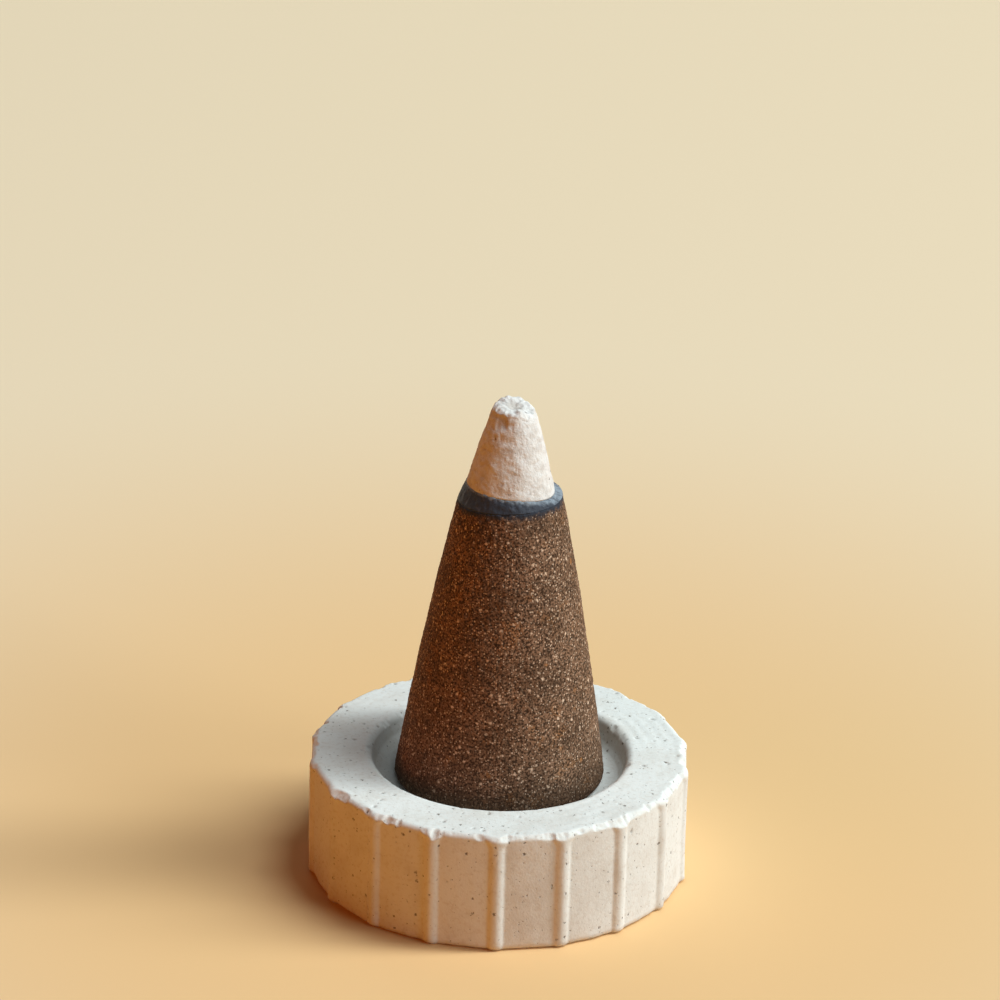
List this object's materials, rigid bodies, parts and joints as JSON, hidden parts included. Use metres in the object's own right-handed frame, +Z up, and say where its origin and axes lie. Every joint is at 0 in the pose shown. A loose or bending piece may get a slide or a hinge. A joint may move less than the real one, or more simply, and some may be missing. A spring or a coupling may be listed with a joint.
{
  "type": "incense burner",
  "caption": "Small round cast dish with raised ribs round its wall and a shallow recess, holding a smouldering incense cone with a char band and a pale ash cap.",
  "frame": {"origin": "centre of the dish's underside, on the surface that it stands on", "axes": "+Z up along the dish's and the cone's axis, -Y towards the viewer of the picture, +X to the viewer's right"},
  "size_m": [0.0272, 0.0274, 0.0358],
  "materials": {
    "cast_stone": "matte",
    "incense": "matte",
    "char": "matte",
    "ember": "matte",
    "ash": "matte"
  },
  "bodies": {
    "dish": {"dish": "cast_stone"},
    "cone": {"cone_body": "incense", "char_band": "char", "ember": "ember"},
    "ash": {"ash_tip": "ash"}
  },
  "joints": [
    {"name": "cone_lift", "type": "slide", "parent": "dish", "child": "cone", "axis": [0, 0, 1], "range_m": [0, 0.02]},
    {"name": "ash_lift", "type": "slide", "parent": "cone", "child": "ash", "axis": [0, 0, 1], "range_m": [0, 0.008]}
  ]
}
